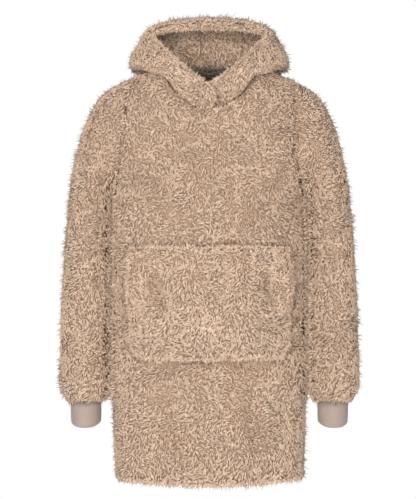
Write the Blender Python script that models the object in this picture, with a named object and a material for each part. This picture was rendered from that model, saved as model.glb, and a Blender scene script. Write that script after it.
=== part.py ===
"""Oversized teddy fleece hoodie, hollow and filled out as it is worn, with nobody in it.

Metres, +Z up, the front facing -Y, and the wearer's left at +X. The origin is midway
between the two points where the shoulder seams meet the neck, where the wearer's
shoulders carry the garment. Outer surfaces lie at the tips of the pile, so each fleece
wall is as thick as its backing and its pile together.
"""

import math
from collections import namedtuple

import bpy
import numpy as np

# Driving sizes of the garment.
LENGTH = 0.893  # from the shoulder seam at the neck down to the hem
FLEECE = 0.009  # backing and pile together
LINING = 0.006  # the shorter pile inside the hood
JERSEY = 0.003  # the cuff, a folded double layer
SEAM_GAP = 0.0003  # left between pieces that are sewn together
VALLEY_SHARE = 0.5  # how much the cloth's own direction counts in a valley seam
RIM_ORDER = np.array([0.0, 0.35, 1.0])  # ranks rim points by y and z
RIM_ORDER_ACROSS = 0.2  # and by distance from the middle
NECK_HALF_WIDTH = 0.105
NECK_DROP_FRONT = 0.113
NECK_DROP_BACK = 0.020
NECKLINE_CURVE = 0.66  # 0.5 is a half ellipse, and more is nearer a V
NECK_STAND_UP, NECK_STAND_OUT = 0.012, 0.004  # the hood's short stand above the seam
SHOULDER_END_X = 0.187
SHOULDER_DROP = 0.034
SHOULDER_ROUND_FRONT = 0.170  # how far below the seam the shoulder has rounded over
SHOULDER_ROUND_BACK = 0.150
UNDERARM_Z = -0.290
SQUARENESS = 2.3  # exponent of the torso's oval, where 2 is an ellipse
ARM_EDGE_DEG = 57.0  # where round the oval the armhole seam runs
ARM_CURVE_SHARE = 0.45  # share of the armhole's height that curves in to the underarm

# Pocket, on the front panel.
POCKET_TOP_Z = -0.400
POCKET_BOTTOM_Z = -0.634
POCKET_EDGE = 0.540  # how far across the front panel its sides lie, from 0 to 1
POCKET_BULGE = 0.015
POCKET_CORNER, POCKET_CORNER_SHARE = 0.030, 0.22  # how high and wide its corners curve
POCKET_SIDE_POWER = 5  # how close to the sides their lift begins
POUCH_FULLNESS = 0.7
MOUTH_MIDDLE, MOUTH_HALF = 0.685, 0.30  # the open stretch of each side, up the pocket
MOUTH_LIFT = 0.020  # how far the open edge stands off the front
MOUTH_CUT = 0.045  # how far across the pocket its open edge is cut back

# Cuff, a tube that the sleeve's end is gathered on.
CUFF_X, CUFF_Y = 0.2695, -0.016
CUFF_HALF_WIDTH, CUFF_HALF_DEPTH = 0.0335, 0.0370
CUFF_TOP_Z, CUFF_BOTTOM_Z = -0.721, -0.791
CUFF_SIDE_RISE = 0.009  # the lower edge is higher at its sides than at its front
CUFF_FOLD_ROUND = 0.0012  # how far the lower fold rounds in
SLEEVE_END_Z = -0.733

# The right front of the hood laps over the left one.
LAP_X = 0.012
LAP_DEPTH = FLEECE + 0.009
LAP_RISE = 0.004  # keeps the lower edge of the half underneath clear of the seam
LAP_FULL_ROWS, LAP_FADE_ROWS = 3, 2.0  # it laps over these rows, then over fewer
LAP_FADE_COLUMNS = 1.5

# How finely each piece is divided.
NECK_STEPS = 7  # from the neck's centre to its side
NECK_CROWDING = 2.2  # how much closer together they are at the side
SHOULDER_STEPS = 6  # from the neck's side to the armhole
ARMHOLE_STEPS = 10
SKIRT_STEPS = 10  # from the hem to the underarm
SLEEVE_STEPS = 21
HOOD_STEPS = 13
POCKET_STEPS = (14, 9)

FLEECE_COLOUR = (0.545, 0.380, 0.270)
LINING_COLOUR = (0.480, 0.335, 0.240)
CUFF_COLOUR = (0.510, 0.400, 0.330)

# The torso's oval, from the hem up. Above the underarm its sides are inside the sleeves.
TorsoRow = namedtuple("TorsoRow", "z half_width front back")
TORSO = (
    TorsoRow(-0.893, 0.2065, 0.158, 0.142),
    TorsoRow(-0.840, 0.2095, 0.161, 0.146),
    TorsoRow(-0.740, 0.2120, 0.164, 0.148),
    TorsoRow(-0.600, 0.2115, 0.165, 0.146),
    TorsoRow(-0.450, 0.2105, 0.163, 0.140),
    TorsoRow(-0.290, 0.2090, 0.154, 0.136),
    TorsoRow(-0.180, 0.2130, 0.144, 0.133),
    TorsoRow(-0.080, 0.2150, 0.136, 0.130),
    TorsoRow(0.000, 0.2150, 0.130, 0.128),
)

# Flutes of the skirt: where round each panel (-1 to 1), how wide, how far out at the hem,
# and the height at which each has died away.
FoldRow = namedtuple("FoldRow", "panel across width depth fades_at")
FOLDS = (
    FoldRow("front", -0.62, 0.20, 0.007, -0.56),
    FoldRow("front", -0.27, 0.17, -0.006, -0.62),
    FoldRow("front", 0.02, 0.18, 0.004, -0.66),
    FoldRow("front", 0.36, 0.19, -0.007, -0.58),
    FoldRow("front", 0.70, 0.18, 0.006, -0.50),
    FoldRow("back", -0.66, 0.20, 0.007, -0.48),
    FoldRow("back", -0.30, 0.20, -0.009, -0.40),
    FoldRow("back", 0.05, 0.19, 0.008, -0.44),
    FoldRow("back", 0.40, 0.20, -0.007, -0.52),
    FoldRow("back", 0.73, 0.18, 0.006, -0.55),
)

# The sleeve from the armhole, whose ring comes from the body panels, down to the wrist.
# Each ring spans from its inner point, by the body, to its outer one.
SleeveRow = namedtuple("SleeveRow", "inner_x inner_z outer_x outer_z half_depth mid_y")
SLEEVE = (
    SleeveRow(0.2132, -0.2935, 0.222, -0.052, 0.0860, 0.000),
    SleeveRow(0.2142, -0.2990, 0.250, -0.084, 0.0900, -0.001),
    SleeveRow(0.2147, -0.3060, 0.272, -0.128, 0.0930, -0.002),
    SleeveRow(0.2150, -0.3150, 0.288, -0.182, 0.0945, -0.003),
    SleeveRow(0.2150, -0.3280, 0.301, -0.238, 0.0950, -0.004),
    SleeveRow(0.2150, -0.3500, 0.308, -0.296, 0.0945, -0.005),
    SleeveRow(0.2152, -0.4000, 0.314, -0.370, 0.0925, -0.007),
    SleeveRow(0.2156, -0.4700, 0.320, -0.455, 0.0900, -0.010),
    SleeveRow(0.2160, -0.5500, 0.3245, -0.545, 0.0865, -0.012),
    SleeveRow(0.2160, -0.6300, 0.327, -0.630, 0.0820, -0.014),
    SleeveRow(0.2150, -0.6850, 0.3285, -0.685, 0.0770, -0.016),
    SleeveRow(0.2175, -0.7120, 0.3265, -0.712, 0.0700, -0.016),
    SleeveRow(0.2235, -0.7270, 0.3175, -0.727, 0.0600, -0.016),
)

# Creases of the sleeve: angle round it from the underarm through the front, how wide that
# is, how deep, and the middle and half length of its stretch.
CreaseRow = namedtuple("CreaseRow", "around_deg width_deg depth mid_z half_length")
SLEEVE_CREASES = (
    CreaseRow(95.0, 22.0, -0.0060, -0.470, 0.130),
    CreaseRow(55.0, 20.0, 0.0030, -0.560, 0.120),
    CreaseRow(150.0, 24.0, 0.0030, -0.400, 0.110),
    CreaseRow(255.0, 26.0, -0.0070, -0.500, 0.120),
    CreaseRow(305.0, 24.0, 0.0040, -0.430, 0.120),
)

# The cuff, from its lower fold up: how far up it, and how far outside its named size.
CuffRow = namedtuple("CuffRow", "share outside")
CUFF = (
    CuffRow(0.00, -CUFF_FOLD_ROUND),
    CuffRow(0.06, 0.0),
    CuffRow(0.50, 0.0005),
    CuffRow(1.00, 0.0),
)

# The left half of the hood, from the roll over the neck seam up to the crown seam. Each
# section runs from the edge of the face opening, round the side, to the centre seam.
HoodRow = namedtuple(
    "HoodRow", "edge_x edge_y edge_z side_x side_y side_z back_y back_z"
)
HOOD = (
    HoodRow(0.000, -0.148, -0.096, 0.170, 0.010, -0.011, 0.118, -0.036),
    HoodRow(0.002, -0.152, -0.070, 0.178, 0.014, 0.003, 0.162, -0.046),
    HoodRow(0.019, -0.148, -0.050, 0.177, 0.018, 0.017, 0.192, -0.032),
    HoodRow(0.048, -0.130, -0.022, 0.165, 0.022, 0.035, 0.206, -0.002),
    HoodRow(0.080, -0.104, 0.012, 0.156, 0.025, 0.050, 0.205, 0.030),
    HoodRow(0.108, -0.075, 0.040, 0.149, 0.028, 0.066, 0.193, 0.060),
    HoodRow(0.118, -0.056, 0.056, 0.136, 0.030, 0.082, 0.177, 0.080),
    HoodRow(0.098, -0.046, 0.067, 0.107, 0.033, 0.096, 0.162, 0.092),
    HoodRow(0.052, -0.041, 0.071, 0.056, 0.036, 0.107, 0.151, 0.099),
    HoodRow(0.000, -0.039, 0.073, 0.000, 0.038, 0.111, 0.147, 0.102),
)
HOOD_SEAM_DIMPLE = 0.010  # how far the crown seam draws the hood in behind
HOOD_DIMPLE_COLUMNS = 1.6
NECK_LIKE_ROWS = 3  # rows over which the hood's sections stop following the neck's
CHEEK_RISE_POWER = 0.9
LINING_FIRST_ROW, LINING_FIRST_COLUMN = 5, 1

# Edges that are sewn to another piece.
SEWN_EDGES = {
    "body_front": ("high", "first", "last"),
    "body_back": ("high", "first", "last"),
    "sleeve_left": ("high",),
    "sleeve_right": ("high",),
    "hood_left": ("low", "high", "last"),
    "hood_right": ("low", "high", "first"),
}
MIRROR = np.array([-1.0, 1.0, 1.0])
SHARP_DEG = 50.0  # edges between faces that turn more than this are shaded sharp


def between(keys, values, at):
    """Values of a smooth curve through (keys, values), at these places."""
    keys, values = np.asarray(keys, float), np.asarray(values, float)
    slope = np.gradient(values, keys)
    i = np.clip(np.searchsorted(keys, at, side="right") - 1, 0, len(keys) - 2)
    step = keys[i + 1] - keys[i]
    t = np.clip((at - keys[i]) / step, 0.0, 1.0)
    start, end = (1 + 2 * t) * (1 - t) ** 2, t * t * (3 - 2 * t)
    out_of, into = t * (1 - t) ** 2 * step, t * t * (t - 1) * step
    return (
        start * values[i]
        + end * values[i + 1]
        + out_of * slope[i]
        + into * slope[i + 1]
    )


def bump(distance):
    """A soft hump: 1 at 0, and 0 from 1 outwards."""
    near = np.clip(1 - np.abs(distance), 0.0, 1.0)
    return near * near * (3 - 2 * near)


def unit(vectors):
    length = np.linalg.norm(vectors, axis=-1, keepdims=True)
    return vectors / np.maximum(length, 1e-12)


def torso_size(column, z):
    return between([row.z for row in TORSO], [getattr(row, column) for row in TORSO], z)


def shoulder_height(x):
    """Height of the shoulder seam above a place across the body, level inside the neck."""
    past_neck = np.clip(np.abs(x) - NECK_HALF_WIDTH, 0.0, None)
    share = past_neck / (SHOULDER_END_X - NECK_HALF_WIDTH)
    return -SHOULDER_DROP * share


def torso_point(panel, angle, z):
    """Outer surface of the body at an angle round it from the panel's middle."""
    forward = -1.0 if panel == "front" else 1.0
    rounding = SHOULDER_ROUND_FRONT if panel == "front" else SHOULDER_ROUND_BACK
    power = 2.0 / SQUARENESS
    x = (
        torso_size("half_width", z)
        * np.sign(np.sin(angle))
        * np.abs(np.sin(angle)) ** power
    )
    below = np.clip((shoulder_height(x) - z) / rounding, 0.0, 1.0)
    over_shoulder = np.sqrt(1 - (1 - below) ** 2)
    cosine = np.clip(np.cos(angle), 0.0, 1.0)
    y = forward * torso_size(panel, z) * cosine**power * over_shoulder
    return np.stack([x, y, np.broadcast_to(z, x.shape)], axis=-1)


def flute_offset(panel, across, z):
    """How far the skirt's flutes stand out at places on a panel."""
    out = np.zeros(np.broadcast(across, z).shape)
    for fold in FOLDS:
        if fold.panel != panel:
            continue
        up = np.clip((z + LENGTH) / (fold.fades_at + LENGTH), 0.0, 1.0)
        out += fold.depth * bump((across - fold.across) / fold.width) * (1 - up) ** 1.5
    return out


def torso_columns():
    """Places across a body panel, from one side to the other, with the neck's among them."""
    step = np.linspace(0, 1, NECK_STEPS + 1)
    neck_x = NECK_HALF_WIDTH * (1 - (1 - step) ** NECK_CROWDING)
    sine = (neck_x / torso_size("half_width", np.array(0.0))) ** (SQUARENESS / 2)
    neck = np.degrees(np.arcsin(sine)) / ARM_EDGE_DEG
    shoulder = np.linspace(neck[-1], 1, SHOULDER_STEPS + 1)[1:]
    half = np.concatenate([neck, shoulder])
    return np.concatenate([-half[:0:-1], half])


def armhole_share():
    """Heights of the rows from the underarm to the shoulder seam, closer at both ends."""
    turn = np.linspace(0, math.pi, ARMHOLE_STEPS + 1)
    return (1 - np.cos(turn)) / 2


def armhole_angle(share):
    """Angle round the body of the panel's side edge: the side seam, then the armhole."""
    arm = math.radians(ARM_EDGE_DEG)
    left = 1 - np.clip(share / ARM_CURVE_SHARE, 0.0, 1.0)
    return arm + (math.pi / 2 - arm) * left**2


def top_edge_z(panel, x):
    """Height of a panel's top edge: the neckline between the two shoulder seams."""
    drop = NECK_DROP_FRONT if panel == "front" else NECK_DROP_BACK
    inside = np.clip(1 - (x / NECK_HALF_WIDTH) ** 2, 0.0, 1.0)
    return shoulder_height(x) - drop * inside**NECKLINE_CURVE


def body_grid(panel):
    """Outer points of the front or back panel, in rows from the hem up."""
    across = torso_columns()
    rows = []
    for z in np.linspace(-LENGTH, UNDERARM_Z, SKIRT_STEPS + 1):
        rows.append(torso_point(panel, across * math.pi / 2, np.full(len(across), z)))
    top_angle = across * armhole_angle(np.array(1.0))
    top = torso_point(panel, top_angle, np.zeros(len(across)))
    top_z = top_edge_z(panel, top[:, 0])
    top_z[np.abs(across).argsort()[2 * NECK_STEPS - 1 : 2 * NECK_STEPS + 1]] = 0.0
    for share in armhole_share()[1:]:
        z = UNDERARM_Z + (top_z - UNDERARM_Z) * share
        rows.append(torso_point(panel, across * armhole_angle(share), z))
    grid = np.array(rows)
    outward = unit(grid * [1.0, 1.0, 0.0])
    flutes = flute_offset(panel, across[None, :], grid[:, :, 2])
    grid = grid + outward * flutes[:, :, None]
    return grid if panel == "front" else grid[:, ::-1]


def armhole_ring(front, back):
    """The left armhole's seam: underarm, up the front, the shoulder, down the back."""
    up_front = front[SKIRT_STEPS:, -1]
    down_back = back[SKIRT_STEPS:, 0][::-1]
    return np.concatenate([up_front, down_back[1:-1]])


def sleeve_creases(angle, z):
    out = np.zeros(np.broadcast(angle, z).shape)
    for crease in SLEEVE_CREASES:
        around = (angle - math.radians(crease.around_deg)) / math.radians(
            crease.width_deg
        )
        along = (z - crease.mid_z) / crease.half_length
        out += crease.depth * bump(around) * bump(along)
    return out


def sleeve_grid(armhole):
    """Outer points of the left sleeve, in rings from the wrist up to the armhole."""
    count = len(armhole)
    angle = np.linspace(0, 2 * math.pi, count, endpoint=False)
    keys = np.arange(len(SLEEVE))
    at = np.linspace(0, len(SLEEVE) - 1, SLEEVE_STEPS - 2)
    size = {
        name: between(keys, [getattr(row, name) for row in SLEEVE], at)
        for name in SleeveRow._fields
    }
    rings = [armhole]
    for i in range(len(at)):
        inner = np.array([size["inner_x"][i], size["mid_y"][i], size["inner_z"][i]])
        outer = np.array([size["outer_x"][i], size["mid_y"][i], size["outer_z"][i]])
        middle, half = (inner + outer) / 2, (outer - inner) / 2
        ring = middle - np.cos(angle)[:, None] * half
        ring[:, 1] -= np.sin(angle) * size["half_depth"][i]
        outward = unit(ring - middle)
        ring += outward * sleeve_creases(angle, ring[:, 2])[:, None]
        rings.append(ring)
    rings.append(wrist_ring(angle, FLEECE + SEAM_GAP, SLEEVE_END_Z))
    return np.array(rings)[::-1]


def wrist_ring(angle, outside_cuff, z):
    """A ring round the left cuff, this far outside it."""
    x = CUFF_X - np.cos(angle) * (CUFF_HALF_WIDTH + outside_cuff)
    y = CUFF_Y - np.sin(angle) * (CUFF_HALF_DEPTH + outside_cuff)
    return np.stack([x, y, np.full(len(angle), z)], axis=-1)


def cuff_grid(count):
    """Outer points of the left cuff, from its lower fold up into the sleeve."""
    angle = np.linspace(0, 2 * math.pi, count, endpoint=False)
    rise = CUFF_SIDE_RISE * np.cos(angle) ** 4
    rows = []
    low = CUFF_BOTTOM_Z + rise
    for row in CUFF:
        ring = wrist_ring(angle, row.outside, 0.0)
        ring[:, 2] = low + (CUFF_TOP_Z - low) * row.share
        rows.append(ring)
    return np.array(rows)


def neck_ring(front, back):
    """The left half of the neck seam, from its front centre to its back centre."""
    middle = front.shape[1] // 2
    along_front = front[-1, middle : middle + NECK_STEPS + 1]
    along_back = back[-1, middle - NECK_STEPS : middle + 1]
    return np.concatenate([along_front, along_back[1:]])


def hood_section(row, cheek_turn, back_turn):
    """Points of one hood section: a quarter oval to the side, and one on to the back."""
    edge = np.array([row["edge_x"], row["edge_y"], row["edge_z"]])
    side = np.array([row["side_x"], row["side_y"], row["side_z"]])
    back = np.array([0.0, row["back_y"], row["back_z"]])
    sine, cosine = np.sin(cheek_turn), np.cos(cheek_turn)
    rise = sine**CHEEK_RISE_POWER
    cheek = np.stack(
        [
            edge[0] + (side[0] - edge[0]) * sine,
            side[1] + (edge[1] - side[1]) * cosine,
            edge[2] + (side[2] - edge[2]) * rise,
        ],
        axis=-1,
    )
    sine, cosine = np.sin(back_turn), np.cos(back_turn)
    behind = np.stack(
        [
            side[0] * cosine,
            side[1] + (back[1] - side[1]) * sine,
            side[2] + (back[2] - side[2]) * (1 - cosine),
        ],
        axis=-1,
    )
    return np.concatenate([cheek, behind[1:]])


def hood_grid(neck):
    """Outer points of the left half of the hood, in rows from the neck seam up."""
    keys = np.arange(len(HOOD))
    at = np.linspace(0, len(HOOD) - 1, HOOD_STEPS)
    neck_turn = np.arctan2(neck[:, 0], -neck[:, 1])
    even_turn = np.linspace(0, math.pi, len(neck))
    stand = neck + unit(neck * [1.0, 1.0, 0.0]) * NECK_STAND_OUT
    rows = [neck, stand + [0.0, 0.0, NECK_STAND_UP]]
    for place in at:
        size = {
            name: float(between(keys, [getattr(row, name) for row in HOOD], place))
            for name in HoodRow._fields
        }
        like_neck = 1 - np.clip(place / NECK_LIKE_ROWS, 0.0, 1.0)
        turn = even_turn + (neck_turn - even_turn) * like_neck
        cheek, behind = turn[: NECK_STEPS + 1], turn[NECK_STEPS:] - math.pi / 2
        rows.append(hood_section(size, cheek, behind))
    grid = np.array(rows)
    # The centre seam holds the hood in a little where it runs down the back.
    seam = bump(np.linspace(-1, 1, len(grid)))[:, None]
    to_seam = np.arange(len(neck)) - (len(neck) - 1)
    near_seam = bump(to_seam / HOOD_DIMPLE_COLUMNS)[None, :]
    grid[:, :, 1] -= HOOD_SEAM_DIMPLE * seam * near_seam
    grid[-1, :, 0] = 0.0
    grid[:, -1, 0] = 0.0
    return grid


def lapped(grid, normals, under):
    """Moves a left hood half's front edge past the centre, and perhaps under the other."""
    rows, columns = np.arange(len(grid)), np.arange(grid.shape[1])
    by_row = 1 - np.clip((rows - LAP_FULL_ROWS) / LAP_FADE_ROWS, 0.0, 1.0)
    past_centre = np.outer(by_row * (rows > 0), columns == 0)
    moved = grid.copy()
    moved[:, :, 0] -= LAP_X * past_centre
    if under:
        by_column = 1 - np.clip((columns - 1) / LAP_FADE_COLUMNS, 0.0, 1.0)
        moved -= normals * (LAP_DEPTH * np.outer(by_row, by_column))[:, :, None]
        moved[0, :, 2] += LAP_RISE * by_column
    return moved


def mirrored(grid):
    """The same piece for the wearer's right, its columns turned to face outwards."""
    return (grid * MIRROR)[:, ::-1]


def grid_normals(grid, closed):
    """Sum of the face normals round each point, larger faces counting for more."""
    right = np.roll(grid, -1, axis=1) if closed else grid[:, 1:]
    here = grid if closed else grid[:, :-1]
    diagonal = np.cross(right[1:] - here[:-1], here[1:] - right[:-1])
    total = np.zeros_like(grid)
    columns = diagonal.shape[1]
    for rows in (slice(0, -1), slice(1, None)):
        total[rows, :columns] += diagonal
        if closed:
            total[rows] += np.roll(diagonal, 1, axis=1)
        else:
            total[rows, 1:] += diagonal
    return total


def place_keys(grid):
    """A whole-number key for each point, the same for points that coincide."""
    return list(map(tuple, np.round(grid * 1e5).astype(int).reshape(-1, 3)))


def shared_normals(panels, valleys):
    """Outward direction at each point, common to the pieces that meet there.

    In a valley seam the pieces fold back on each other, so their own directions cancel
    and the given one leads.
    """
    sums = {}
    for grid, closed in panels.values():
        normals = unit(grid_normals(grid, closed)).reshape(-1, 3)
        for key, normal in zip(place_keys(grid), normals):
            sums[key] = sums.get(key, 0.0) + normal
    for ring, direction in valleys:
        for key, normal in zip(place_keys(ring), direction):
            sums[key] = unit(sums[key]) * VALLEY_SHARE + normal
    return {
        name: unit(np.array([sums[key] for key in place_keys(grid)])).reshape(grid.shape)
        for name, (grid, _) in panels.items()
    }


def drawn_in(grid, edges):
    """Draws the named sewn edges back from their seams by half the gap.

    The low edge is the hood's, which stands on the neck seam and rises by a whole one.
    """
    moved = grid.copy()
    step = SEAM_GAP / 2
    if "low" in edges:
        moved[0, :, 2] += SEAM_GAP
    if "high" in edges:
        moved[-1] += unit(grid[-2] - grid[-1]) * step
    if "first" in edges:
        moved[:, 0] += unit(grid[:, 1] - grid[:, 0]) * step
    if "last" in edges:
        moved[:, -1] += unit(grid[:, -2] - grid[:, -1]) * step
    return moved


def wall_object(name, outer, inner, closed, material, collection, guide=None):
    """A closed wall lofted between an outer and an inner grid of points.

    Each four-cornered face is split along the shorter diagonal of the guide grid, so
    that two walls on the same guide lie evenly on each other.
    """
    guide = outer if guide is None else guide
    rows, columns = outer.shape[:2]
    count = rows * columns
    points = np.concatenate([outer.reshape(-1, 3), inner.reshape(-1, 3)])
    spans = columns if closed else columns - 1

    def at(row, column):
        return row * columns + column % columns

    faces = []
    for row in range(rows - 1):
        for column in range(spans):
            quad = [
                at(row, column),
                at(row, column + 1),
                at(row + 1, column + 1),
                at(row + 1, column),
            ]
            a, b, c, d = guide.reshape(-1, 3)[quad]
            if np.linalg.norm(b - d) < np.linalg.norm(a - c):
                quad = quad[1:] + quad[:1]
            for triangle in ([quad[0], quad[1], quad[2]], [quad[0], quad[2], quad[3]]):
                faces.append(triangle)
                faces.append([count + corner for corner in reversed(triangle)])
    rims = [
        [(at(0, column), at(0, column + 1)) for column in range(spans)],
        [(at(rows - 1, column + 1), at(rows - 1, column)) for column in range(spans)],
    ]
    if not closed:
        rims.append([(at(row + 1, 0), at(row, 0)) for row in range(rows - 1)])
        rims.append(
            [(at(row, columns - 1), at(row + 1, columns - 1)) for row in range(rows - 1)]
        )
    # Pieces that meet at a rim have the same points there, so its faces are split from
    # the point that is higher and further out, whichever way round the rim runs.
    rank = points @ RIM_ORDER[:, None] + np.abs(points[:, :1]) * RIM_ORDER_ACROSS
    for rim in rims:
        for start, end in rim:
            quad = [end, start, count + start, count + end]
            if rank[end, 0] < rank[start, 0]:
                quad = quad[1:] + quad[:1]
            faces.append([quad[0], quad[1], quad[2]])
            faces.append([quad[0], quad[2], quad[3]])
    mesh = bpy.data.meshes.new(name)
    mesh.from_pydata(points.tolist(), [], faces)
    mesh.validate()
    mesh.shade_smooth()
    mesh.set_sharp_from_angle(angle=math.radians(SHARP_DEG))
    mesh.materials.append(material)
    piece = bpy.data.objects.new(name, mesh)
    collection.objects.link(piece)
    return piece


def cloth_material(name, colour, roughness):
    material = bpy.data.materials.new(name)
    material.use_nodes = True
    shader = material.node_tree.nodes["Principled BSDF"]
    shader.inputs["Base Color"].default_value = (*colour, 1.0)
    shader.inputs["Roughness"].default_value = roughness
    shader.inputs["Metallic"].default_value = 0.0
    return material


def pocket_grids(front_normal):
    """Outer and inner points of the pocket, lifted off the front panel's surface."""
    across_steps, up_steps = POCKET_STEPS
    across = np.linspace(-1, 1, across_steps + 1)
    up = np.linspace(0, 1, up_steps + 1)
    height = POCKET_TOP_Z - POCKET_BOTTOM_Z
    corner = POCKET_CORNER * bump((1 - np.abs(across)) / POCKET_CORNER_SHARE) ** 2
    low = POCKET_BOTTOM_Z + corner
    z = low[None, :] + (POCKET_TOP_Z - low)[None, :] * up[:, None]
    share = (z - POCKET_BOTTOM_Z) / height
    mouth = bump((share - MOUTH_MIDDLE) / MOUTH_HALF)
    to_side = np.abs(across)[None, :] ** POCKET_SIDE_POWER
    place = across[None, :] * POCKET_EDGE * (1 - MOUTH_CUT * mouth * to_side)
    base = torso_point("front", place * math.pi / 2, z)
    base = base + (
        unit(base * [1.0, 1.0, 0.0]) * flute_offset("front", place, z)[:, :, None]
    )
    pouch = POCKET_BULGE * np.sin(math.pi * np.clip(share, 0.0, 1.0)) ** POUCH_FULLNESS
    lift = pouch * (1 - to_side) + MOUTH_LIFT * mouth * to_side
    lift[0] = 0.0
    lift[-1] = 0.0
    outward = front_normal(base)
    inner = base + outward * (SEAM_GAP + lift)[:, :, None]
    outer = inner + outward * FLEECE
    return outer, inner


def normal_finder(grid, normals):
    """Looks up the front panel's outward direction at any point near its surface."""
    points, directions = grid.reshape(-1, 3), normals.reshape(-1, 3)

    def find(places):
        flat = places.reshape(-1, 3)
        distance = np.linalg.norm(flat[:, None] - points[None], axis=2)
        weight = 1.0 / (distance**3 + 1e-9)
        return unit(weight @ directions).reshape(places.shape)

    return find


def make_panels(front, back):
    """The sewn fleece pieces as grids, with whether each one closes round itself."""
    sleeve = sleeve_grid(armhole_ring(front, back))
    hood = hood_grid(neck_ring(front, back))
    return {
        "body_front": (front, False),
        "body_back": (back, False),
        "sleeve_left": (sleeve, True),
        "sleeve_right": (mirrored(sleeve), True),
        "hood_left": (hood, False),
        "hood_right": (mirrored(hood), False),
    }


def seam_valleys(front, back):
    """The armhole and neck seams, with the directions that lead out of each valley."""
    armhole, neck = armhole_ring(front, back), neck_ring(front, back)
    middle = (armhole.min(axis=0) + armhole.max(axis=0)) / 2
    from_arm = unit((armhole - middle) * [0.0, 1.0, 1.0])
    whole_neck = np.concatenate([neck, neck[1:-1] * MIRROR])
    from_neck = unit(whole_neck * [1.0, 1.0, 0.0])
    return (
        (armhole, from_arm),
        (armhole * MIRROR, from_arm * MIRROR),
        (whole_neck, from_neck),
    )


def square_to_cuffs(panels, normals):
    """Turns the sleeves' wrist ends straight out from the cuffs that they grip."""
    for name in ("sleeve_left", "sleeve_right"):
        ring = panels[name][0][0]
        normals[name][0] = unit((ring - ring.mean(axis=0)) * [1.0, 1.0, 0.0])


def make_fleece(panels, normals, material, collection):
    for name, (grid, closed) in panels.items():
        outer = drawn_in(grid, SEWN_EDGES[name])
        inner = outer - normals[name] * FLEECE
        wall_object(name, outer, inner, closed, material, collection, guide=grid)


def make_lining(side, panels, normals, material, collection):
    """The hood's lining, just inside its shell, from behind the neck up to the crown."""
    name = f"hood_{side}"
    columns = slice(LINING_FIRST_COLUMN, None)
    sewn = ("high", "last")
    if side == "right":
        columns = slice(0, -LINING_FIRST_COLUMN)
        sewn = ("high", "first")
    guide = panels[name][0][LINING_FIRST_ROW:, columns]
    direction = normals[name][LINING_FIRST_ROW:, columns]
    outer = drawn_in(guide, sewn) - direction * (FLEECE + SEAM_GAP)
    inner = outer - direction * LINING
    wall_object(f"hood_lining_{side}", outer, inner, False, material, collection, guide)


def make_pocket(front, front_normals, material, collection):
    outer, inner = pocket_grids(normal_finder(front, front_normals))
    wall_object("pocket", outer, inner, False, material, collection)


def make_cuffs(count, material, collection):
    """Both cuffs, each a tube whose lower fold is rounded."""
    cuff = cuff_grid(count)
    outward = unit((cuff - [CUFF_X, CUFF_Y, 0.0]) * [1.0, 1.0, 0.0])
    inside = cuff - outward * JERSEY
    inside[0] = cuff[0] - outward[0] * (JERSEY - CUFF_FOLD_ROUND)
    wall_object("cuff_left", cuff, inside, True, material, collection)
    wall_object("cuff_right", mirrored(cuff), mirrored(inside), True, material, collection)


def build():
    for old in list(bpy.data.objects):
        bpy.data.objects.remove(old)
    collection = bpy.data.collections.new("teddy_fleece_hoodie")
    bpy.context.scene.collection.children.link(collection)
    fleece = cloth_material("teddy_fleece", FLEECE_COLOUR, 0.95)
    lining = cloth_material("hood_lining_fleece", LINING_COLOUR, 0.95)
    jersey = cloth_material("cuff_jersey", CUFF_COLOUR, 0.85)

    front, back = body_grid("front"), body_grid("back")
    panels = make_panels(front, back)
    normals = shared_normals(panels, seam_valleys(front, back))
    hood = panels["hood_left"][0]
    left = lapped(hood, normals["hood_left"], under=True)
    right = lapped(hood, normals["hood_left"], under=False)
    panels["hood_left"] = (left, False)
    panels["hood_right"] = (mirrored(right), False)
    square_to_cuffs(panels, normals)

    make_fleece(panels, normals, fleece, collection)
    for side in ("left", "right"):
        make_lining(side, panels, normals, lining, collection)
    make_pocket(front, normals["body_front"], fleece, collection)
    make_cuffs(panels["sleeve_left"][0].shape[1], jersey, collection)


build()
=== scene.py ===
"""Looks of an oversized teddy fleece hoodie: cloth shells, their pile, and jersey cuffs.

Each fleece panel is read from its solid. Its visible face is smoothed, creased and set
back by the height of the pile to make a thin backing, and the pile is a second mesh of
many small curled locks that grow from that backing.
"""

import math
from collections import namedtuple

import bmesh
import bpy
import numpy as np
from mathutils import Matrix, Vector
from mathutils.bvhtree import BVHTree


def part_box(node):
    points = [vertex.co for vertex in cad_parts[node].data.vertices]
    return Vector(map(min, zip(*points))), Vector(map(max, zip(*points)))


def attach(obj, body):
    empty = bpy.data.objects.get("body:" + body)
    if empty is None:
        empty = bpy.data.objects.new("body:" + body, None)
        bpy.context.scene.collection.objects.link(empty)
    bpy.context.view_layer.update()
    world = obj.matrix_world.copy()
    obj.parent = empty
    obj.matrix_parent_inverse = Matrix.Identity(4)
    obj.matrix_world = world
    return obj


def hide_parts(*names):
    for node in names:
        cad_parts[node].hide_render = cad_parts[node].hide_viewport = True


# The photo's frame, and the camera that saw it.
PHOTO_WIDTH, PHOTO_HEIGHT = 416, 499
METRES_PER_PIXEL = 0.0022  # at the garment's side seams
CAMERA_DISTANCE = 2.6
CAMERA_X, CAMERA_Z = -0.003, -0.406
FLOOR_Z = -1.45

# Cloth sizes.
PILE = 0.0068  # height of the pile over the backing
BACKING = 0.0022
LINING_PILE = 0.0045
LINING_BACKING = 0.0015
SEAM_REACH = 0.009  # how far from a seam the pile is held down
SEAM_PILE = 0.62  # share of the pile's height at the seam itself
SEAM_SHADE = 0.85  # how much darker the painted shade makes the pile there
SEAM_FIND = 0.004  # an edge this close to another panel is sewn to it
COVER_REACH = 0.009  # pile under something this close isn't made
CONTACT_REACH = 0.009  # pile this close under another panel's edge gets painted shade
CONTACT_SHADE = 1.00

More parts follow.
